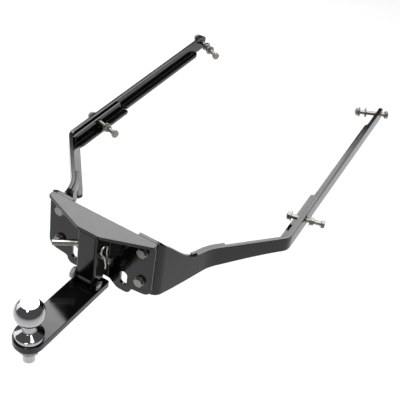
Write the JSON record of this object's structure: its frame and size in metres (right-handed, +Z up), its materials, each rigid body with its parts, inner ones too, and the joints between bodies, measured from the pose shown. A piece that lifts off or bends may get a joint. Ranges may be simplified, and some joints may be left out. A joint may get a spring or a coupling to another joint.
{
  "type": "frame-mounted ball hitch",
  "caption": "Black steel ball hitch with two bent side arms, a bolted centre bracket, a pinned drawbar and a chrome trailer ball.",
  "frame": {"origin": "centre of the flat on top of the trailer ball", "axes": "+X across the vehicle to its right arm, +Y from the ball towards the arm tips, +Z up"},
  "size_m": [0.4981, 0.8577, 0.1651],
  "materials": {
    "black_paint": "gloss",
    "zinc_plate": "satin",
    "chrome_ball": "polished"
  },
  "bodies": {
    "hitch_frame": {"top_plate": "black_paint", "wing_plate": "black_paint", "receiver_channel": "black_paint", "drawbar_tongue": "black_paint", "drawbar_riser": "black_paint", "trailer_ball": "chrome_ball", "ball_lock_washer": "zinc_plate", "ball_nut": "zinc_plate", "lower_cross_bolt": "zinc_plate", "lower_cross_nut": "black_paint", "right_upper_bracket_bolt": "zinc_plate", "right_upper_bracket_nut": "zinc_plate", "right_lower_bracket_bolt": "zinc_plate", "right_lower_bracket_nut": "zinc_plate", "right_arm": "black_paint", "right_arm_doubler": "black_paint", "right_bend_gusset": "black_paint", "left_upper_bracket_bolt": "zinc_plate", "left_upper_bracket_nut": "zinc_plate", "left_lower_bracket_bolt": "zinc_plate", "left_lower_bracket_nut": "zinc_plate", "left_arm": "black_paint", "left_arm_doubler": "black_paint", "left_bend_gusset": "black_paint"},
    "hitch_pin": {"hitch_pin": "zinc_plate"},
    "pin_clip": {"pin_clip": "zinc_plate"},
    "right_rear_arm_bolt": {"right_rear_arm_bolt": "zinc_plate"},
    "right_rear_arm_end_nut": {"right_rear_arm_end_nut": "zinc_plate"},
    "right_rear_arm_collar_nut": {"right_rear_arm_collar_nut": "zinc_plate"},
    "left_rear_arm_bolt": {"left_rear_arm_bolt": "zinc_plate"},
    "left_rear_arm_end_nut": {"left_rear_arm_end_nut": "zinc_plate"},
    "left_rear_arm_collar_nut": {"left_rear_arm_collar_nut": "zinc_plate"},
    "right_tip_arm_bolt": {"right_tip_arm_bolt": "zinc_plate"},
    "right_tip_arm_end_nut": {"right_tip_arm_end_nut": "zinc_plate"},
    "right_tip_arm_washer": {"right_tip_arm_washer": "zinc_plate"},
    "left_tip_arm_bolt": {"left_tip_arm_bolt": "zinc_plate"},
    "left_tip_arm_end_nut": {"left_tip_arm_end_nut": "zinc_plate"},
    "left_tip_arm_collar_nut": {"left_tip_arm_collar_nut": "zinc_plate"},
    "left_tip_arm_washer": {"left_tip_arm_washer": "zinc_plate"}
  },
  "joints": [
    {"name": "pin_turn", "type": "hinge", "parent": "hitch_frame", "child": "hitch_pin", "pos_m": [0, 0.1493, -0.00515], "axis": [1, 0, 0], "range_deg": [-40, 90]},
    {"name": "clip_pull", "type": "slide", "parent": "hitch_pin", "child": "pin_clip", "axis": [0, -0.2756, 0.9613], "range_m": [0, 0.004]},
    {"name": "right_rear_bolt_slide", "type": "slide", "parent": "hitch_frame", "child": "right_rear_arm_bolt", "axis": [0.9589, 0.2836, 0], "range_m": [-0.0028, 0.01]},
    {"name": "right_rear_arm_end_nut_spin", "type": "hinge", "parent": "right_rear_arm_bolt", "child": "right_rear_arm_end_nut", "pos_m": [0.20037, 0.4526, -0.02683], "axis": [0.9589, 0.2836, 0], "continuous": true},
    {"name": "right_rear_arm_collar_nut_spin", "type": "hinge", "parent": "right_rear_arm_bolt", "child": "right_rear_arm_collar_nut", "pos_m": [0.23038, 0.46148, -0.02683], "axis": [0.9589, 0.2836, 0], "continuous": true},
    {"name": "left_rear_bolt_slide", "type": "slide", "parent": "hitch_frame", "child": "left_rear_arm_bolt", "axis": [0.9589, -0.2836, 0], "range_m": [-0.018, 0.004]},
    {"name": "left_rear_arm_end_nut_spin", "type": "hinge", "parent": "left_rear_arm_bolt", "child": "left_rear_arm_end_nut", "pos_m": [-0.2312, 0.46881, -0.02639], "axis": [0.9589, -0.2836, 0], "continuous": true},
    {"name": "left_rear_arm_collar_nut_spin", "type": "hinge", "parent": "left_rear_arm_bolt", "child": "left_rear_arm_collar_nut", "pos_m": [-0.19218, 0.45727, -0.02639], "axis": [0.9589, -0.2836, 0], "continuous": true},
    {"name": "right_tip_bolt_slide", "type": "slide", "parent": "hitch_frame", "child": "right_tip_arm_bolt", "axis": [0.8688, 0.4951, 0], "range_m": [-0.0028, 0.0165]},
    {"name": "right_tip_arm_end_nut_spin", "type": "hinge", "parent": "right_tip_arm_bolt", "child": "right_tip_arm_end_nut", "pos_m": [0.17159, 0.79729, -0.00208], "axis": [0.8688, 0.4951, 0], "continuous": true},
    {"name": "right_tip_arm_washer_spin", "type": "hinge", "parent": "right_tip_arm_bolt", "child": "right_tip_arm_washer", "pos_m": [0.18158, 0.80298, -0.00208], "axis": [0.8688, 0.4951, 0], "continuous": true},
    {"name": "left_tip_bolt_slide", "type": "slide", "parent": "hitch_frame", "child": "left_tip_arm_bolt", "axis": [0.8688, -0.4951, 0], "range_m": [-0.011, 0.003]},
    {"name": "left_tip_arm_end_nut_spin", "type": "hinge", "parent": "left_tip_arm_bolt", "child": "left_tip_arm_end_nut", "pos_m": [-0.21547, 0.82229, -0.00208], "axis": [0.8688, -0.4951, 0], "continuous": true},
    {"name": "left_tip_arm_collar_nut_spin", "type": "hinge", "parent": "left_tip_arm_bolt", "child": "left_tip_arm_collar_nut", "pos_m": [-0.18723, 0.8062, -0.00208], "axis": [0.8688, -0.4951, 0], "continuous": true},
    {"name": "left_tip_arm_washer_spin", "type": "hinge", "parent": "left_tip_arm_bolt", "child": "left_tip_arm_washer", "pos_m": [-0.17246, 0.79778, -0.00208], "axis": [0.8688, -0.4951, 0], "continuous": true}
  ]
}
